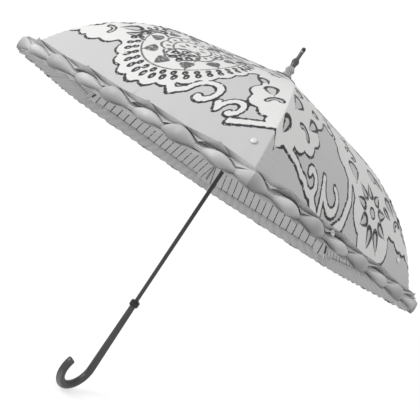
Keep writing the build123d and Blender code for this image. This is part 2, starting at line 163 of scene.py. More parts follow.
class Value:
    """A shader socket that Python's operators work on, each adding a Math node."""

    def __init__(self, shader, socket):
        self.shader, self.socket = shader, socket

    def _math(self, operation, *values):
        made = self.shader.node("ShaderNodeMath", dict(enumerate(values)), operation=operation)
        return Value(self.shader, made.outputs[0])

    def __add__(self, other):
        return self._math("ADD", self, other)

    __radd__ = __add__

    def __mul__(self, other):
        return self._math("MULTIPLY", self, other)

    __rmul__ = __mul__

    def __sub__(self, other):
        return self._math("SUBTRACT", self, other)

    def __rsub__(self, other):
        return self._math("SUBTRACT", other, self)

    def __abs__(self):
        return self._math("ABSOLUTE", self)

    def fraction(self):
        return self._math("FRACT", self)

    def wave(self):
        return self._math("SINE", self)

    def step(self, low, high):
        """0 below low, 1 above high, and smooth between."""
        made = self.shader.node(
            "ShaderNodeMapRange",
            {"Value": self, "From Min": low, "From Max": high},
            interpolation_type="SMOOTHSTEP",
        )
        return Value(self.shader, made.outputs[0])


class Shader:
    """One finish: node() adds any node, and the expressions on Value add the maths."""

    def __init__(self, name):
        self.finish = bpy.data.materials.new(name)
        self.finish.use_nodes = True
        self.finish.node_tree.nodes.clear()

    def node(self, kind, sockets=None, **settings):
        made = self.finish.node_tree.nodes.new(kind)
        for setting, value in settings.items():
            setattr(made, setting, value)
        for key, value in (sockets or {}).items():
            if isinstance(value, Value):
                self.finish.node_tree.links.new(value.socket, made.inputs[key])
            elif isinstance(value, bpy.types.NodeSocket):
                self.finish.node_tree.links.new(value, made.inputs[key])
            else:
                made.inputs[key].default_value = value
        return made

    def place(self):
        """Object coordinates."""
        return self.node("ShaderNodeTexCoord").outputs["Object"]

    def flat(self):
        """The cloth's own flat map, in metres, as (across, along)."""
        parts = self.node("ShaderNodeSeparateXYZ", {0: self.node("ShaderNodeTexCoord").outputs["UV"]})
        return Value(self, parts.outputs[0]), Value(self, parts.outputs[1])

    def layer(self, name):
        """A number kept at each vertex."""
        return Value(self, self.node("ShaderNodeAttribute", attribute_name=name).outputs["Fac"])

    def noise(self, scale, detail=2.0, place=None):
        made = self.node(
            "ShaderNodeTexNoise", {"Vector": place or self.place(), "Scale": scale, "Detail": detail}
        )
        return Value(self, made.outputs[0])

    def mix(self, share, first, second):
        """A colour from first to second as share goes from 0 to 1."""
        made = self.node("ShaderNodeMix", {0: share, 6: self._rgba(first), 7: self._rgba(second)},
            data_type="RGBA")
        return made.outputs[2]

    @staticmethod
    def _rgba(colour):
        return colour if isinstance(colour, (Value, bpy.types.NodeSocket)) else (*tuple(colour)[:3], 1.0)

    def surface(self, height=None, relief=0.0002, **sockets):
        """The closing shader, with height as relief in metres."""
        inputs = {key.replace("_", " "): value for key, value in sockets.items()}
        if "Base Color" in inputs:
            inputs["Base Color"] = self._rgba(inputs["Base Color"])
        if height is not None:
            bump = self.node("ShaderNodeBump", {"Height": height, "Distance": relief, "Strength": 1.0})
            inputs["Normal"] = bump.outputs[0]
        closing = self.node("ShaderNodeBsdfPrincipled", inputs)
        self.node("ShaderNodeOutputMaterial", {"Surface": closing.outputs[0]})
        return self.finish


def scaled(colour, share):
    return tuple(min(1.0, c * share) for c in tuple(colour)[:3])


# ---------------------------------------------------------------- finishes


def lace_cloth(colours):
    """Sheer net with white corded lace, dark outline thread and dark worked parts."""
    s = Shader("lace_cloth")
    lace, dark = s.layer("lace"), s.layer("dark")
    fray = s.noise(900, 1.0) - 0.5
    inside = (lace + fray * 0.5).step(0.2, -0.2)
    thread = abs(lace + fray * 0.9).step(1.6, 0.85) * s.noise(260, 1.0).step(0.22, 0.4)
    worked = (dark + fray * 1.2).step(0.5, -0.5)
    across, along = s.flat()
    weave = (across * 5200).wave() * (along * 5200).wave()
    cord = (s.noise(420, 2.0) - 0.5) * 0.5
    net = s.mix(s.noise(9, 3.0), scaled(colours.net, 0.97), scaled(colours.net, 1.04))
    lace_colour = s.mix(s.noise(320, 2.0), scaled(colours.lace, 0.93), colours.lace)
    colour = s.mix(inside, net, lace_colour)
    colour = s.mix(worked * 0.9 * s.noise(240, 2.0).step(0.2, 0.5), colour, scaled(colours.outline, 1.2))
    colour = s.mix(thread, colour, colours.outline)
    height = inside * (0.7 + cord) + weave * 0.06 + thread * 0.35
    return s.surface(
        height, 0.0005, Base_Color=colour, Roughness=0.78 - inside * 0.12, Sheen_Weight=0.25,
        Sheen_Roughness=0.4
    )


def lining_cloth(colours, pitch):
    """Plain inner cloth with fine dark broken pintucks that run up from the hem."""
    s = Shader("lining_cloth")
    across, along = s.flat()
    turns = across * (1 / pitch) + 0.5
    off = abs(turns.fraction() - 0.5) * pitch
    broken = s.noise(240, 1.0).step(0.3, 0.42)
    tuck = off.step(0.0015, 0.0007) * broken
    weave = (across * 4200).wave() * (along * 4200).wave()
    cloth = s.mix(s.noise(14, 3.0), scaled(colours.lining, 0.93), scaled(colours.lining, 1.05))
    return s.surface(
        tuck * 0.8 + weave * 0.07, 0.0004, Base_Color=s.mix(tuck, cloth, (0.01, 0.01, 0.011)), Roughness=0.85
    )


def satin(colours):
    """Silver satin: fine ribs across, a shine along the folds, painted light and shade from the depth layer (lighter
    where it is low, darker where it is high) and darker stitching at the hems.
    """
    s = Shader("ruffle_satin")
    across, along = s.flat()
    weave = (across * 6000).wave() * 0.1 + s.noise(60, 3.0) * 0.35
    depth, hem = s.layer("depth"), s.layer("hem")
    # Painted light and shade: depth 0 paints the satin half again as light, depth 1 paints it about a third as
    # light.
    cloth = s.mix(depth, scaled(colours.satin, 1.5), scaled(colours.satin, 0.34))
    cloth = s.mix(s.noise(45, 2.0) * 0.15, cloth, scaled(colours.satin, 0.9))
    stitched = hem.step(0.45, 0.85) * (0.75 + (across * 2400).wave() * 0.25)
    cloth = s.mix(stitched * 0.7, cloth, scaled(colours.satin, 0.14))
    return s.surface(
        weave + hem * 0.8, 0.0003, Base_Color=cloth, Roughness=0.42 + depth * 0.15, Sheen_Weight=0.3,
        Coat_Weight=0.12,
    )


def organza(colours):
    """Crisp grey organza with a fine cross weave, a rolled edge and painted shade from the depth layer."""
    s = Shader("frill_organza")
    across, along = s.flat()
    weave = (across * 7000).wave() * (along * 7000).wave() * 0.2
    depth, hem = s.layer("depth"), s.layer("hem")
    # Painted shade: the depth layer darkens the organza to about three quarters.
    cloth = s.mix(depth, scaled(colours.organza, 1.05), scaled(colours.organza, 0.78))
    cloth = s.mix(s.noise(70, 2.0) * 0.3, cloth, scaled(colours.organza, 0.9))
    cloth = s.mix(hem.step(0.5, 0.95) * 0.15, cloth, scaled(colours.organza, 0.6))
    return s.surface(weave + hem * 0.6, 0.0003, Base_Color=cloth, Roughness=0.6, Sheen_Weight=0.35)


def metal(name, colour, rough, metallic=0.0, coat=0.0, grain=0.25, length=(1.0, 1.0, 0.06)):
    """A drawn or lacquered fitting: faint lengthwise grain, scuffs and uneven gloss."""
    s = Shader(name)
    stretched = s.node("ShaderNodeMapping", {"Vector": s.place(), "Scale": length}).outputs[0]
    streak = s.noise(700, 3.0, stretched)
    cloud = s.noise(38, 3.0)
    scuff = s.noise(300, 4.0).step(0.62, 0.74)
    base = s.mix(cloud, scaled(colour, 0.8), scaled(colour, 1.2))
    base = s.mix(scuff * 0.3, base, scaled(colour, 1.8))
    return s.surface(
        streak * grain + scuff * 0.2, 0.00012, Base_Color=base, Metallic=metallic,
        Roughness=rough + (cloud - 0.5) * 0.16 + scuff * 0.12, Coat_Weight=coat, Coat_Roughness=0.15,
    )


def pearl_finish():
    """Lustrous sewn pearl with a faint warm and cool drift."""
    s = Shader("pearl")
    drift = s.noise(160, 2.0)
    return s.surface(
        s.noise(900, 2.0) * 0.2, 0.00005, Base_Color=s.mix(drift, (0.86, 0.85, 0.84), (0.95, 0.95, 0.96)),
        Roughness=0.18 + drift * 0.1, Coat_Weight=0.6,
    )


# ---------------------------------------------------------------- lace


def disc(p, x, q, radius):
    return np.hypot(p[0] - x, p[1] - q) - radius


def scalloped(p, x, q, radius, count, depth, phase=0.0):
    """A disc whose edge is count round scallops."""
    turn = np.arctan2(p[0] - x, p[1] - q) + phase
    return np.hypot(p[0] - x, p[1] - q) - radius + depth * (1 - np.abs(np.cos(count * turn / 2)))


def turned(p, x, q, turn):
    c, s = math.cos(math.radians(turn)), math.sin(math.radians(turn))
    dx, dq = p[0] - x, p[1] - q
    return dx * c - dq * s, dx * s + dq * c


def oval(p, x, q, wide, tall, turn=0.0):
    u, v = turned(p, x, q, turn)
    return (np.hypot(u / wide, v / tall) - 1) * min(wide, tall)


def drop(p, x, q, wide, tall, turn=0.0):
    """A teardrop, its point up before it is turned clockwise."""
    u, v = turned(p, x, q, turn)
    width = wide * np.clip(1 - (v + 0.35 * tall) / (1.35 * tall), 0.02, 1.0) ** 0.6
    return (
        np.hypot(u / width, np.minimum(v + 0.35 * tall, 0) / (0.65 * tall)) - 1
    ) * wide * 0.6 + np.maximum(
        v - tall, 0
    )


def strand(p, points, width):
    """A cord of that width along a line of points."""
    best = np.full(p[0].shape, 1e9)
    for (ax, aq), (bx, bq) in zip(points[:-1], points[1:]):
        dx, dq = bx - ax, bq - aq
        t = np.clip(((p[0] - ax) * dx + (p[1] - aq) * dq) / (dx * dx + dq * dq), 0, 1)
        best = np.minimum(best, np.hypot(p[0] - ax - t * dx, p[1] - aq - t * dq))
    return best - width / 2


def arc(p, x, q, radius, start, sweep, width):
    """A curved cord about (x, q); angles are clockwise from the rim's direction."""
    turns = np.radians(np.linspace(start, start + sweep, 14))
    return strand(p, [(x + radius * math.sin(t), q + radius * math.cos(t)) for t in turns], width)


def curl(x, q, radius, start, sweep, end_radius, steps=18):
    """The points of a scroll that winds in towards (x, q)."""
    turns = np.radians(np.linspace(start, start + sweep, steps))
    radii = np.linspace(radius, end_radius, steps)
    return [(x + r * math.sin(t), q + r * math.cos(t)) for r, t in zip(radii, turns)]


def join(*shapes):
    return np.minimum.reduce(shapes)


def cut(body, *holes):
    return np.maximum(body, -np.minimum.reduce(holes))


def ring_of(p, shape, x, q, radius, count, phase=0.0, **sizes):
    """count shapes set round a circle, each pointing away from its middle."""
    turns = [360 / count * i + phase for i in range(count)]
    return join(
        *(
            shape(p, x + radius * math.sin(math.radians(t)), q + radius * math.cos(math.radians(t)), turn=t,
                **sizes)
            for t in turns
        )
    )


MEDALLION = (-128, 168)
FLOWER = (180, 202)


def main_motif(p):
    """The lace about a main rib: a leaf on the ridge, a medallion to its left and a flower to its right."""
    mx, mq = MEDALLION
    fx, fq = FLOWER
    leaf = join(
        scalloped(p, 8, 258, 52, 11, 5), scalloped(p, 7, 298, 26, 7, 4), drop(p, 7, 318, 13, 15),
        disc(p, 8, 205, 50)
    )
    medallion = scalloped(p, mx, mq, 88, 26, 4)
    flower = join(scalloped(p, fx, fq, 52, 9, 6), disc(p, 165, 130, 72), scalloped(p, 122, 178, 42, 9, 4))
    scrolls = join(
        strand(p, [(-128, 244), (-118, 262)] + curl(-84, 267, 21, -110, -300, 7), 9),
        strand(p, [(-66, 281)] + curl(-49, 293, 15, -100, -290, 5), 8),
        strand(p, [(-46, 308), (-24, 313), (-4, 318)], 8),
        strand(p, [(14, 318), (40, 308), (52, 307)] + curl(66, 292, 14, -30, 300, 5), 8),
        strand(p, [(76, 301), (98, 303), (120, 290), (133, 266), (133, 240), (122, 214)], 10),
        strand(p, [(98, 303)] + curl(103, 266, 20, -80, 250, 8), 8),
    )
    body = join(leaf, medallion, flower, scrolls) + picots(p)
    holes = join(
        drop(p, -21, 250, 7, 12, 18), drop(p, 12, 247, 8, 14, -4), drop(p, 42, 243, 6, 13, -14),
        arc(p, -14, 277, 8, 110, 140, 5), arc(p, 34, 275, 8, 110, 140, 5), drop(p, 8, 302, 5, 12),
        drop(p, -33, 222, 5, 10, 30), drop(p, 10, 214, 6, 11), drop(p, 40, 208, 5, 10, -20),
        ring_of(p, drop, fx, fq, 27, 9, 12, wide=5.5, tall=9.5), disc(p, fx, fq, 6),
        arc(p, 70, 183, 10, -60, 250, 5), arc(p, 116, 160, 9, 30, 260, 5),
        drop(p, 128, 189, 11, 13, 35), oval(p, 166, 140, 9, 11, 38), oval(p, 209, 128, 8, 11, 52),
        drop(p, 232, 140, 5, 12, 50), drop(p, 251, 150, 4, 10, 60), drop(p, 218, 92, 4, 10, 66),
        drop(p, 236, 94, 4, 10, 70), oval(p, 182, 90, 6, 11, 60), oval(p, 148, 104, 6, 11, 50),
        ring_of(p, oval, mx, mq, 75, 40, 3, wide=2.3, tall=3.0),
        ring_of(p, oval, mx, mq, 67, 36, 0, wide=2.2, tall=2.6),
        ring_of(p, oval, -133, 196, 11, 6, wide=3, tall=4), disc(p, -133, 196, 3.2),
    )
    dark = join(
        np.abs(disc(p, mx, mq, 61)) - 1.0, ring_of(p, drop, mx, mq, 50, 10, 8, wide=9, tall=8),
        np.abs(scalloped(p, mx, mq, 39, 9, 4)) - 1.6, ring_of(p, oval, mx, mq, 30, 18, 4, wide=2.2, tall=3.4),
        np.abs(disc(p, mx, mq, 24)) - 1.3, ring_of(p, drop, mx, mq, 14, 8, 0, wide=2.4, tall=5),
        arc(p, -133, 196, 20, 60, 240, 3), arc(p, -76, 180, 21, 40, 230, 4),
        arc(p, -182, 158, 18, 120, 220, 4),
        oval(p, -132, 92, 6, 17, -52), oval(p, -92, 102, 6, 18, -40), oval(p, -58, 118, 5, 17, -26),
        drop(p, -28, 150, 5, 14, -10), drop(p, 30, 150, 5, 14, 10), arc(p, 96, 118, 12, -90, 200, 4),
    )
    return body, holes, dark


def picots(p):
    """The small loops that roughen the lace's edge."""
    return 0.5 * np.sin(p[0] * 0.85 + 0.6 * np.sin(p[1] * 0.31)) * np.sin(p[1] * 0.85 + 0.6 * np.sin(p[0] * 0.27))


def side_motif(p):
    """The smaller leaf cluster on the ribs between the main ones."""
    body = join(
        scalloped(p, -1, 268, 54, 11, 5), scalloped(p, -2, 304, 25, 7, 4), drop(p, -2, 322, 12, 14),
        disc(p, 0, 212, 46), scalloped(p, 34, 262, 24, 7, 4), scalloped(p, -38, 272, 24, 7, 4),
    ) + picots(p)
    holes = join(
        drop(p, -22, 262, 7, 13, 14), drop(p, 20, 262, 7, 13, -14), drop(p, -1, 270, 6, 12),
        drop(p, -2, 306, 5, 12),
        arc(p, -20, 292, 8, 110, 140, 5), arc(p, 18, 292, 8, 110, 140, 5), drop(p, 0, 232, 6, 12),
        drop(p, -28, 228, 5, 11, 20), drop(p, 28, 228, 5, 11, -20), drop(p, -40, 268, 4, 9, 30),
        drop(p, 38, 262, 4, 9, -30),
    )
    return body, holes, np.full(p[0].shape, 1e3)


def crown_motif(p):
    """Rings of worked lace about the apex."""
    body = scalloped(p, 0, 0, 205, 30, 5)
    holes = join(
        ring_of(p, oval, 0, 0, 34, 12, 0, wide=4, tall=7),
        ring_of(p, drop, 0, 0, 92, 18, 10, wide=6, tall=13),
        ring_of(p, oval, 0, 0, 118, 36, 5, wide=3, tall=3.6),
        ring_of(p, oval, 0, 0, 172, 24, 7.5, wide=5, tall=10),
    )
    dark = join(
        np.abs(scalloped(p, 0, 0, 64, 12, 9)) - 6.5, np.abs(scalloped(p, 0, 0, 108, 18, 5)) - 2.2,
        np.abs(disc(p, 0, 0, 47)) - 1.4, np.abs(scalloped(p, 0, 0, 138, 18, 9, math.radians(10))) - 2.4,
        ring_of(p, drop, 0, 0, 90, 18, 10, wide=4, tall=10),
        ring_of(p, oval, 0, 0, 26, 12, 0, wide=2.6, tall=5),
        ring_of(p, oval, 0, 0, 155, 36, 5, wide=2.4, tall=3.4),
        ring_of(p, drop, 0, 0, 124, 30, 0, wide=2.6, tall=6),
    )
    return body, holes, dark


# How far the lace is worked outwards where the canopy turns over, in millimetres.
LACE_EASE = 22.0


def lace_map(x, q, main):
    """Signed distances in millimetres, negative inside, to the lace and to its dark worked parts."""
    radius = np.maximum(np.hypot(x, q), 1.0)
    eased = 1 - LACE_EASE * np.sin(np.pi * np.clip(radius / RIM, 0, 1)) / radius
    x, q = x * eased, q * eased
    found = [crown_motif((x, q))]
    for step in (-60, 0, 60):
        near = turned((x, q), 0, 0, step)
        motif = main_motif if main == (step == 0) else side_motif
        found.append(motif(near))
    body, holes, dark = zip(*found)
    return cut(join(*body), join(*holes)), join(*dark)


# ---------------------------------------------------------------- cloth


def rib_turn(number):
    return FIRST_RIB_TURN + RIB_STEP * (number - 1)


def ridge(along, rise):
    """Radius and height over a rib, that far along it and above it."""
    along = np.asarray(along, float)
    slope = LINK_SLOPE + np.maximum(along - STRAIGHT, 0) / BEND
    straight = along <= STRAIGHT
    radius = np.where(
        straight,
        PIVOT_RADIUS + along * math.cos(LINK_SLOPE) + rise * math.sin(LINK_SLOPE),
        BEND_CENTRE[0] + (BEND + rise) * np.sin(slope),
    )
    height = np.where(
        straight,
        CROWN_Z - along * math.sin(LINK_SLOPE) + rise * math.cos(LINK_SLOPE),
        BEND_CENTRE[1] + (BEND + rise) * np.cos(slope),
    )
    return radius, height, slope


def across_panels(radius, share):
    """Radial and tangential place of a point that share of the way to the middle of the next panel."""
    return radius * (1 - 0.25 * np.abs(share)), radius * math.sqrt(3) / 4 * share


def cloth_mesh(name, rows, finish, flat, number=None, wrap=False, layers=None):
    """A sheet from rows of points in millimetres, radial, tangential and up, turned to its rib.

    Its flat map is in metres.
    """
    count, width = rows.shape[:2]
    turn = rib_turn(number) if number else 0.0
    c, s = math.cos(turn), math.sin(turn)
    radial, tangent = rows[..., 0], rows[..., 1]
    points = np.stack(
        (radial * c - tangent * s, radial * s + tangent * c, rows[..., 2]), -1
    ).reshape(-1, 3) * MM
    i, j = np.meshgrid(np.arange(count - 1), np.arange(width - (not wrap)), indexing="ij")
    after = (j + 1) % width
    quads = np.stack((i * width + j, (i + 1) * width + j, (i + 1) * width + after, i * width + after), -1)
    mesh = bpy.data.meshes.new(name)
    mesh.from_pydata(points.tolist(), [], quads.reshape(-1, 4).tolist())
    corners = np.zeros(len(mesh.loops), np.int32)
    mesh.loops.foreach_get("vertex_index", corners)
    uv = mesh.uv_layers.new(name="flat")
    uv.data.foreach_set("uv", (flat.reshape(-1, 2)[corners] * MM).astype(np.float32).ravel())
    for key, values in (layers or {}).items():
        mesh.attributes.new(key, "FLOAT", "POINT").data.foreach_set("value",
            values.astype(np.float32).ravel())
    mesh.shade_smooth()
    mesh.materials.append(finish)
    piece = bpy.data.objects.new(name, mesh)
    bpy.context.collection.objects.link(piece)
    return piece


def hang(piece, number, node):
    """The cloth moves with its rib."""
    turn = rib_turn(number)
    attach(piece, f"rib_{number}")
    if node:
        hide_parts(f"{node}_{number}")
    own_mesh(piece)


def canopy_rows(start, end, row_count, column_count, rise, sag):
    """Rows of a rib's two half panels, dipped between the ribs and puckered along the seam."""
    along = np.linspace(start, end, row_count)[:, None]
    share = np.linspace(-1, 1, column_count)[None, :]
    radius, height, slope = ridge(along, rise)
    radial, tangent = across_panels(radius, share)
    length = (along - start) / (end - start)
    dip = sag * np.sin(np.pi * length) * (1 - np.cos(np.pi * share)) / 2
    off = np.abs(tangent)
    pucker = 0.35 * np.sin(along * 0.55 + 1.3 * np.sin(along * 0.11)) * np.exp(-off / 11)
    ripple = 0.8 * np.sin(tangent * 0.21 + 0.8 * np.sin(tangent * 0.07)) * np.exp(-(end - along) / 14)
    out = pucker + ripple * np.clip(off / 20, 0, 1) - dip
    side = np.sign(share) * math.radians(30) * np.clip(off / 6, 0, 1)
    rows = np.stack(
        (radial + out * np.sin(slope) * np.cos(side), tangent + out * np.sin(slope) * np.sin(side),
         np.broadcast_to(height, radial.shape) + out * np.cos(slope)), -1,
    )
    return rows, radial, tangent, np.broadcast_to(along, radial.shape)


def panel_flat(tangent, radial, along):
    """Flat map of a half panel: distance from the panel's middle along the hem, and along the cloth."""
    turn = math.radians(30)
    side = np.sign(tangent) + (tangent == 0)
    across = side * (np.abs(tangent) * math.cos(turn) - radial * math.sin(turn))
    return np.stack((across, along), -1)


class PARASOL_OT_canopy(bpy.types.Operator):
    """Six lace gores, each centred on a rib"""

    bl_idname = "parasol.canopy"
    bl_label = "Lace canopy"

    def execute(self, context):
        sizes, finish = context.scene.parasol_sizes, lace_cloth(context.scene.parasol_colours)
        rows_count, columns = ((216, 197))
        for number in RIBS:
            rows, radial, tangent, along = canopy_rows(
                6, RIDGE_LENGTH, rows_count, columns, CLOTH_RISE - 0.4, sizes.panel_sag / MM
            )
            lace, dark = lace_map(tangent, radial, number in MAIN_RIBS)
            lift = sizes.lace_relief / MM * np.clip(0.5 - lace / 2, 0, 1)
            rows[..., 2] += lift
            flat = panel_flat(tangent, radial, along)
            piece = cloth_mesh(
                f"lace_canopy_{number}", rows, finish, flat, number, layers={"lace": lace, "dark": dark}
            )
            hang(piece, number, "canopy")
        return {"FINISHED"}


class PARASOL_OT_lining(bpy.types.Operator):
    """Six lining gores with dark pintucks, just inside the lace"""

    bl_idname = "parasol.lining"
    bl_label = "Lining"

    def execute(self, context):
        sizes = context.scene.parasol_sizes
        finish = lining_cloth(context.scene.parasol_colours, sizes.pintuck_pitch)
        for number in RIBS:
            rows, radial, tangent, along = canopy_rows(
                7, RIDGE_LENGTH - 0.5, 90, 81, CLOTH_RISE - 1.5, sizes.panel_sag / MM + 0.3
            )
            flat = panel_flat(tangent, radial, along)
            piece = cloth_mesh(f"lining_{number}", rows[:, ::-1], finish, flat[:, ::-1], number)
            hang(piece, number, None)
        return {"FINISHED"}


# The pressed folds of the ruffle: share of a point's pitch, then how far out and up the fold stands.
HEADER_EDGE = ((0.0, 28, 6), (0.57, 24, 4), (0.88, 22, 6))
POINT_EDGE = ((0.0, 31, 7), (0.28, 26, -5), (0.58, 31, 3), (0.77, 25, -4))
# Each point carries two round flutes, pinched to the hem where they meet.
FLUTES = ((-0.15, 0.3), (0.3, 0.77))
# Rows of a flute: reach at a pinch, more at its middle, rise at a pinch, more in the first and second flute.
FLUTE_ROWS = ((25, 6, -8, 6, 9), (25, 12, -9, 1, 3), (26, 11, -10, -3, -4), (26, 7, -12, -5, -6))
CORNER_EASE = (0.42, 60.0)


def folded_line(control, tangent, points):
    """The line of a pressed edge along one rib's hem: place along, reach and rise, repeated at each point."""
    pitch = RIM / points
    line = [((c[0] + n + 0.5) * pitch, *c[1:]) for n in range(-points, points + 1) for c in control]
    places, reach, rise = zip(*line)
    return [tangent, np.interp(tangent, places, reach), np.interp(tangent, places, rise)]


def flutes_at(tangent, points):
    """How far each of a point's two flutes swells there, from 0 at its pinches to 1 at its middle."""
    first = FLUTES[0][0]
    place = (tangent / (RIM / points) - 0.5 - first) % 1.0 + first
    return [np.sin(np.pi * np.clip((place - start) / (end - start), 0, 1)) for start, end in FLUTES]


def fluted_line(row, tangent, points):
    """One row of the flounce along a rib's hem, out to the flutes' middles and in to their pinches."""
    reach, more_reach, rise, *more_rise = row
    swells = flutes_at(tangent, points)
    return [
        tangent,
        reach + more_reach * sum(swells),
        rise + sum(more * swell for more, swell in zip(more_rise, swells)),
    ]


def hem_point(tangent, reach, rise, hem_z):
    """Radial, tangential and up, reach outside the hem at that place along it."""
    share = tangent / (RIM / 2)
    least, distance = CORNER_EASE
    ease = np.clip(np.abs(tangent) / distance, 0, 1)
    reach = reach * (least + (1 - least) * ease * ease * (3 - 2 * ease))
    radial, side = across_panels(RIM + reach, share)
    return np.stack((radial, side, hem_z + rise), -1)


def ruffle_rows(lines, steps, hem_z):
    """Rows between a strip's control lines, eased so the cloth is round between them."""
    rows = [hem_point(t, reach, rise, hem_z) for t, reach, rise in lines]
    rows = np.stack(rows)
    share = np.linspace(0, len(lines) - 1, steps)
    first = np.minimum(share.astype(int), len(lines) - 2)
    part = (share - first)[:, None, None]
    before, after = np.maximum(first - 1, 0), np.minimum(first + 2, len(lines) - 1)
    p0, p1, p2, p3 = rows[before], rows[first], rows[first + 1], rows[after]
    return 0.5 * (
        2 * p1 + (p2 - p0) * part + (2 * p0 - 5 * p1 + 4 * p2 - p3) * part**2 + (3 * p1 - p0 - 3 * p2 + p3) * part**3
    )


class PARASOL_OT_ruffle(bpy.types.Operator):
    """The satin ruffle: a row of folded points over a fluted flounce"""

    bl_idname = "parasol.ruffle"
    bl_label = "Satin ruffle"

    def execute(self, context):
        finish = satin(context.scene.parasol_colours)
        points = context.scene.parasol_sizes.ruffle_points
        hem_z = float(ridge(RIDGE_LENGTH, CLOTH_RISE)[1])
        tangent = np.linspace(-RIM / 2, RIM / 2, 361)
        straight = [tangent, np.full_like(tangent, 4.0), np.full_like(tangent, 0.0)]
        root = [tangent, 1.0 + 0 * tangent, 0.6 + 0 * tangent]
        strips = {
            "ruffle_header": [root, [tangent, 12 + 0 * tangent, 0.9 + 0 * tangent],
                              folded_line(HEADER_EDGE, tangent, points)],
            "ruffle_points": [root, [tangent, 12 + 0 * tangent, 1.2 + 0 * tangent],
                              folded_line(POINT_EDGE, tangent, points)],
            "ruffle_flounce": [straight, *(fluted_line(row, tangent, points) for row in FLUTE_ROWS)],
        }
        for name, lines in strips.items():
            rows = ruffle_rows(lines, 25, hem_z)
            steps = np.linspace(0, 1, 25)[:, None]
            second = flutes_at(tangent, points)[1][None, :]
            # depth is painted shade: the flounce darkens towards its lower edge and more in each point's second
            # flute; the folded points get almost none.
            depth = (
                np.clip(steps * 1.3 - 0.4 + 0.3 * second, 0, 1) if "flounce" in name
                else 0.05 + 0 * steps * second
            )
            hem = np.exp(-(1 - steps) * 22) + 0 * second
            flat = np.stack((np.broadcast_to(tangent, rows.shape[:2]), steps * 36 + 0 * second), -1)
            for number in RIBS:
                piece = cloth_mesh(
                    f"{name}_{number}", rows, finish, flat, number, layers={"depth": depth, "hem": hem}
                )
                hang(piece, number, "hem_ruffle" if "flounce" in name else None)
        return {"FINISHED"}


class PARASOL_OT_frill(bpy.types.Operator):
    """The fine pleated frill under the ruffle"""

    bl_idname = "parasol.frill"
    bl_label = "Pleated frill"

    def execute(self, context):
        finish = organza(context.scene.parasol_colours)
        pleats = context.scene.parasol_sizes.frill_pleats
        hem_z = float(ridge(RIDGE_LENGTH, CLOTH_RISE)[1])
        tangent = np.linspace(-RIM / 2, RIM / 2, pleats * 14 + 1)
        phase = (tangent / (RIM / pleats) + 0.5) % 1.0
        fold = np.where(phase < 0.62, phase / 0.62, (1 - phase) / 0.38)
        steps = np.linspace(0, 1, 15)[:, None]
        wander = 0.6 * np.sin(tangent * 0.09) + 0.4 * np.sin(tangent * 0.23 + 1)
        opened = 0.35 + 0.65 * steps
        reach = (
            np.interp(steps, [0, 0.16, 0.32, 1], [-6, -1, 5, 34])
            + (1.8 * fold - 0.9) * opened * steps + wander * steps
        )
        rise = (
            np.interp(steps, [0, 0.16, 0.32, 1], [4.4, -1.6, -4.0, -16.5])
            - (2.0 * fold - 1.0) * opened * steps
        )
        edge = np.clip((steps - 0.8) / 0.2, 0, 1) ** 2 * 1.4 * np.sin(np.pi * phase)
        rows = hem_point(np.broadcast_to(tangent, reach.shape), reach + edge * 0.6, rise - edge * 0.5, hem_z)
        # depth is painted shade: darker on one face of each pleat and towards the root under the ruffle.
        depth = np.clip(0.75 * (1 - fold) + 0.25 * (1 - steps), 0, 1)
        hem = np.exp(-(1 - steps) * 22) + 0 * fold
        flat = np.stack((np.broadcast_to(tangent * 1.6, reach.shape), steps * 42 + 0 * fold), -1)
        for number in RIBS:
            piece = cloth_mesh(f"frill_{number}", rows, finish, flat, number,
                layers={"depth": depth, "hem": hem})
            hang(piece, number, "hem_frill")
        return {"FINISHED"}


class PARASOL_OT_apex(bpy.types.Operator):
    """The gathered cloth at the apex: a stitched patch and the rosette round the ferrule's foot"""

    bl_idname = "parasol.apex"
    bl_label = "Apex cloth"

    def execute(self, context):
        finish = satin(context.scene.parasol_colours)
        low, high = (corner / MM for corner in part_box("ferrule_rosette"))
        patch_low, patch_high = (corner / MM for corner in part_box("apex_patch"))
        turn = np.linspace(0, 2 * np.pi, 361)[:-1][None, :]
        steps = np.linspace(0, 1, 24)[:, None]
        radius = 6.0 + (patch_high[0] - 6.2) * steps
        petal = np.abs(np.cos(3 * (turn - FIRST_RIB_TURN)))
        edge = radius * (1 - 0.1 * steps**3 * (1 - petal))
        height = np.interp(radius, [0, 14, patch_high[0]],
            [patch_high[2] - 0.1, patch_high[2] - 0.1, patch_low[2] + 1.5])
        height = height + 0.25 * np.sin(36 * turn) * steps + 0 * turn
        rows = np.stack((edge * np.cos(turn), edge * np.sin(turn), height), -1)
        flat = np.stack((turn * 14 + 0 * steps, radius + 0 * turn), -1)
        layers = {"depth": 0.35 + 0 * steps * turn, "hem": np.exp(-(1 - steps) * 12) + 0 * turn}
        patch = cloth_mesh("apex_cloth", rows, finish, flat, wrap=True, layers=layers)
        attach(patch, "frame")
        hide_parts("apex_patch")

        flutes = context.scene.parasol_sizes.rosette_flutes
        share = np.linspace(0, 1, 40)[:, None]
        outline = np.interp(share, [0, 0.12, 0.3, 0.42, 0.55, 0.72, 0.88, 1],
            [5.4, 6.4, 8.3, 8.0, 6.3, 7.2, 10.6, 11.2])
        sway = turn + 0.22 * np.sin(share * 7) + 0.1 * np.sin(3 * turn)
        gather = np.cos(flutes * sway) + 0.35 * np.cos(2 * flutes * sway + 1)
        swell = outline * (1 + 0.1 * gather * np.sin(np.pi * np.clip(share * 1.1, 0, 1)) ** 0.7)
        up = high[2] - (high[2] - low[2]) * share + 0.5 * gather * share
        rows = np.stack((swell * np.cos(turn), swell * np.sin(turn), up), -1)
        # depth is painted shade: darker in the hollows between the gathers.
        layers = {"depth": np.clip(0.5 - 0.4 * gather, 0, 1), "hem": np.exp(-(1 - share) * 10) + 0 * turn}
        flat = np.stack((turn * 12 + 0 * share, share * 24 + 0 * turn), -1)
        rosette = cloth_mesh("rosette", rows, finish, flat, wrap=True, layers=layers)
        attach(rosette, "frame")
        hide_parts("ferrule_rosette")
        return {"FINISHED"}


# Pearls in each main rib's lace: tangential and radial place in millimetres.
PEARLS = [(-14, 341), (-204, 216), (267, 192), (118, 318)]


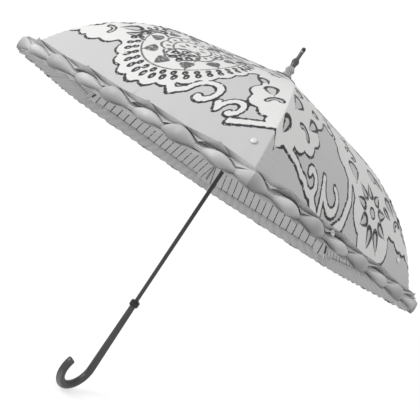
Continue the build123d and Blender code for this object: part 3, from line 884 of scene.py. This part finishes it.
class PARASOL_OT_pearls(bpy.types.Operator):
    """Small pearls sewn to the net between the lace and the hem"""

    bl_idname = "parasol.pearls"
    bl_label = "Sewn pearls"

    def execute(self, context):
        finish = pearl_finish()
        size = context.scene.parasol_sizes.pearl
        for number in (1, 3, 5):
            for index, (across, out) in enumerate(PEARLS, 1):
                turn = math.atan2(across, out)
                beside = number if abs(turn) < RIB_STEP / 2 else (number + (1 if turn > 0 else -1) - 1) % 6 + 1
                off = turn - (0 if beside == number else math.copysign(RIB_STEP, turn))
                reach = math.hypot(across, out)
                place, normal = canopy_place(beside, reach, off)
                bpy.ops.object.select_all(action="DESELECT")
                bpy.ops.mesh.primitive_uv_sphere_add(segments=20, ring_count=12, radius=size / 2)
                pearl = bpy.context.object
                pearl.name = f"pearl_{number}_{index}"
                bpy.ops.object.mode_set(mode="EDIT")
                bpy.ops.mesh.select_all(action="SELECT")
                bpy.ops.transform.resize(value=(1, 1, 0.45))
                bpy.ops.object.mode_set(mode="OBJECT")
                pearl.data.transform(
                    Matrix.Translation(place + normal * size * 0.16) @ normal.to_track_quat("Z",
                        "Y").to_matrix().to_4x4()
                )
                bpy.ops.object.shade_smooth()
                pearl.data.materials.append(finish)
                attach(pearl, f"rib_{beside}")
                hang_pearl(pearl, beside)
        return {"FINISHED"}


def canopy_place(number, reach, off):
    """A point on the lace that far from the axis, off that angle from a rib, and the cloth's normal there."""
    ridge_radius = reach * math.cos(math.radians(30) - abs(off)) / math.cos(math.radians(30))
    along = np.linspace(0, RIDGE_LENGTH, 900)
    radius, height, slope = ridge(along, CLOTH_RISE)
    z, lean = float(np.interp(ridge_radius, radius, height)), float(np.interp(ridge_radius, radius, slope))
    turn = rib_turn(number) + off
    face = rib_turn(number) + math.copysign(math.radians(30), off)
    normal = Vector((math.sin(lean) * math.cos(face), math.sin(lean) * math.sin(face), math.cos(lean)))
    return Vector((reach * math.cos(turn), reach * math.sin(turn), z)) * MM, normal


def hang_pearl(pearl, number):
    turn = rib_turn(number)
    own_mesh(pearl)


# ---------------------------------------------------------------- fittings


class PARASOL_OT_fittings(bpy.types.Operator):
    """Finishes of the shaft, handle, ferrule, ribs and working parts"""

    bl_idname = "parasol.fittings"
    bl_label = "Fittings"

    def execute(self, context):
        lacquer = context.scene.parasol_colours.lacquer
        finishes = {
            "shaft": metal("shaft_lacquer", scaled(lacquer, 1.1), 0.38, 0.6, 0.25),
            "crook_handle": metal("handle_lacquer", lacquer, 0.34, 0.35, 0.4),
            "crook_end_cap": metal("cap_lacquer", scaled(lacquer, 1.3), 0.36, 0.35, 0.4),
            "handle_collar": metal("collar_black", (0.012, 0.012, 0.013), 0.2, 0.0, 0.6),
            "crown": metal("crown_nylon", (0.03, 0.03, 0.032), 0.5),
            "runner": metal("runner_nylon", (0.028, 0.028, 0.03), 0.46),
            "ferrule": metal("ferrule_lacquer", (0.11, 0.11, 0.115), 0.36, 0.3, 0.3),
            "ferrule_tip": metal("tip_black", (0.01, 0.01, 0.011), 0.22, 0.0, 0.5),
        }
        wire = metal("drawn_wire", (0.6, 0.6, 0.61), 0.26, 1.0)
        rib = metal("rib_lacquer", (0.16, 0.16, 0.165), 0.42, 0.7, length=(0.3, 0.3, 0.3))
        nickel = metal("nickel", (0.62, 0.62, 0.6), 0.24, 1.0)
        for node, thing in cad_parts.items():
            finish = finishes.get(node)
            if finish is None:
                finish = rib if node.startswith(("rib_", "stretcher_")) else wire
            if node.startswith("rib_tip"):
                finish = nickel
            if node.startswith("stretcher_pins"):
                finish = wire
            thing.data.materials.clear()
            thing.data.materials.append(finish)
        return {"FINISHED"}


# ---------------------------------------------------------------- stage

AIM = Vector((0.0195, -0.0018, 0.2906))
VIEW_TURN = math.radians(5.37)
VIEW_ROLL = math.radians(33.68)


def view_axes():
    """The camera's right, up and backward directions."""
    right = Vector((math.cos(VIEW_TURN), -math.sin(VIEW_TURN), 0))
    back = Vector((-math.sin(VIEW_TURN), -math.cos(VIEW_TURN), 0.001))
    level = Vector((0, 0, 1))
    across = right * math.cos(VIEW_ROLL) + level * math.sin(VIEW_ROLL)
    up = level * math.cos(VIEW_ROLL) - right * math.sin(VIEW_ROLL)
    return across.normalized(), up.normalized(), back.normalized()


def soft_light(name, direction, distance, size, power):
    light = bpy.data.lights.new(name, "AREA")
    light.shape, light.size, light.energy = "DISK", size, power
    lamp = bpy.data.objects.new(name, light)
    bpy.context.collection.objects.link(lamp)
    direction = direction.normalized()
    lamp.location = AIM + direction * distance
    lamp.rotation_euler = direction.to_track_quat("Z", "Y").to_euler()


class PARASOL_OT_stage(bpy.types.Operator):
    """Pale floor that curves up all round, soft light and the camera"""

    bl_idname = "parasol.stage"
    bl_label = "Stage"

    def execute(self, context):
        studio = context.scene.parasol_studio
        floor_z = float(CAD_BOX[0][2]) - 0.002
        bpy.ops.object.select_all(action="DESELECT")
        bpy.ops.mesh.primitive_circle_add(vertices=96, radius=2.6, fill_type="TRIFAN",
            location=(0, 0, floor_z))
        floor = context.object
        floor.name = "floor"
        bpy.ops.object.mode_set(mode="EDIT")
        for index in range(1, 13):
            turn, last = math.radians(90 / 12 * index), math.radians(90 / 12 * (index - 1))
            bpy.ops.mesh.select_all(action="DESELECT")
            bpy.ops.mesh.select_mode(type="EDGE")
            bpy.ops.mesh.select_non_manifold()
            bpy.ops.mesh.extrude_edges_move()
            grow = (2.6 + 1.8 * math.sin(turn)) / (2.6 + 1.8 * math.sin(last))
            bpy.ops.transform.resize(value=(grow, grow, 1))
            bpy.ops.transform.translate(value=(0, 0, 1.8 * (math.cos(last) - math.cos(turn))))
        bpy.ops.mesh.select_all(action="DESELECT")
        bpy.ops.mesh.select_non_manifold()
        bpy.ops.mesh.extrude_edges_move()
        bpy.ops.transform.translate(value=(0, 0, 8))
        bpy.ops.mesh.select_all(action="SELECT")
        bpy.ops.mesh.normals_make_consistent(inside=True)
        bpy.ops.object.mode_set(mode="OBJECT")
        bpy.ops.object.shade_smooth()
        s = Shader("floor")
        tone = s.noise(1.5, 2.0)
        floor.data.materials.append(
            s.surface(
                Base_Color=s.mix(tone, (0.9, 0.9, 0.9), (0.93, 0.93, 0.93)), Roughness=0.9,
                Emission_Color=(1.0, 1.0, 1.0, 1.0), Emission_Strength=studio.floor_glow,
            )
        )
        floor.visible_diffuse = floor.visible_glossy = floor.visible_shadow = False
        world = bpy.data.worlds.new("studio")
        world.use_nodes = True
        background = world.node_tree.nodes["Background"]
        background.inputs["Color"].default_value = (1, 1, 1, 1)
        background.inputs["Strength"].default_value = studio.sky
        context.scene.world = world
        context.scene.view_settings.view_transform = "Standard"
        across, up, back = view_axes()
        soft_light("key", up * 0.8 - across * 0.5 + back * 0.6, 1.6, 0.9, studio.key_power)
        soft_light("bounce", Vector((0, -0.35, -1)), 1.3, 1.6, studio.key_power * 0.6)
        soft_light("fill", across * 0.7 + back * 0.9 + up * 0.1, 2.0, 1.4, studio.key_power * 0.25)
        lens = bpy.data.cameras.new("camera")
        lens.lens, lens.sensor_width = studio.lens, 36.0
        lens.clip_start = 0.02
        camera = bpy.data.objects.new("camera", lens)
        context.collection.objects.link(camera)
        matrix = Matrix((across, up, back)).transposed().to_4x4()
        matrix.translation = AIM + back * studio.distance
        camera.matrix_world = matrix
        context.scene.camera = camera
        return {"FINISHED"}


# ---------------------------------------------------------------- panel and run

PROPERTIES = {"parasol_sizes": ParasolSizes, "parasol_colours": ParasolColours,
    "parasol_studio": ParasolStudio}
STEPS = (
    PARASOL_OT_stage,
    PARASOL_OT_fittings,
    PARASOL_OT_canopy,
    PARASOL_OT_lining,
    PARASOL_OT_ruffle,
    PARASOL_OT_frill,
    PARASOL_OT_apex,
    PARASOL_OT_pearls,
)


class PARASOL_PT_panel(bpy.types.Panel):
    """The parasol's pieces, in the order they are built"""

    bl_idname = "PARASOL_PT_panel"
    bl_label = "Lace parasol"
    bl_space_type = "VIEW_3D"
    bl_region_type = "UI"
    bl_category = "Parasol"

    def draw(self, context):
        for group, kind in PROPERTIES.items():
            box = self.layout.box()
            for field in kind.__annotations__:
                box.prop(getattr(context.scene, group), field)
        for step in STEPS:
            self.layout.operator(step.bl_idname)


CLASSES = (*PROPERTIES.values(), *STEPS, PARASOL_PT_panel)


def register():
    for kind in CLASSES:
        bpy.utils.register_class(kind)
    for group, kind in PROPERTIES.items():
        setattr(bpy.types.Scene, group, PointerProperty(type=kind))


def unregister():
    for group in PROPERTIES:
        delattr(bpy.types.Scene, group)
    for kind in reversed(CLASSES):
        bpy.utils.unregister_class(kind)


def main():
    register()
    for step in STEPS:
        family, name = step.bl_idname.split(".")
        getattr(getattr(bpy.ops, family), name)()
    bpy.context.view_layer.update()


if __name__ == "__main__":
    main()
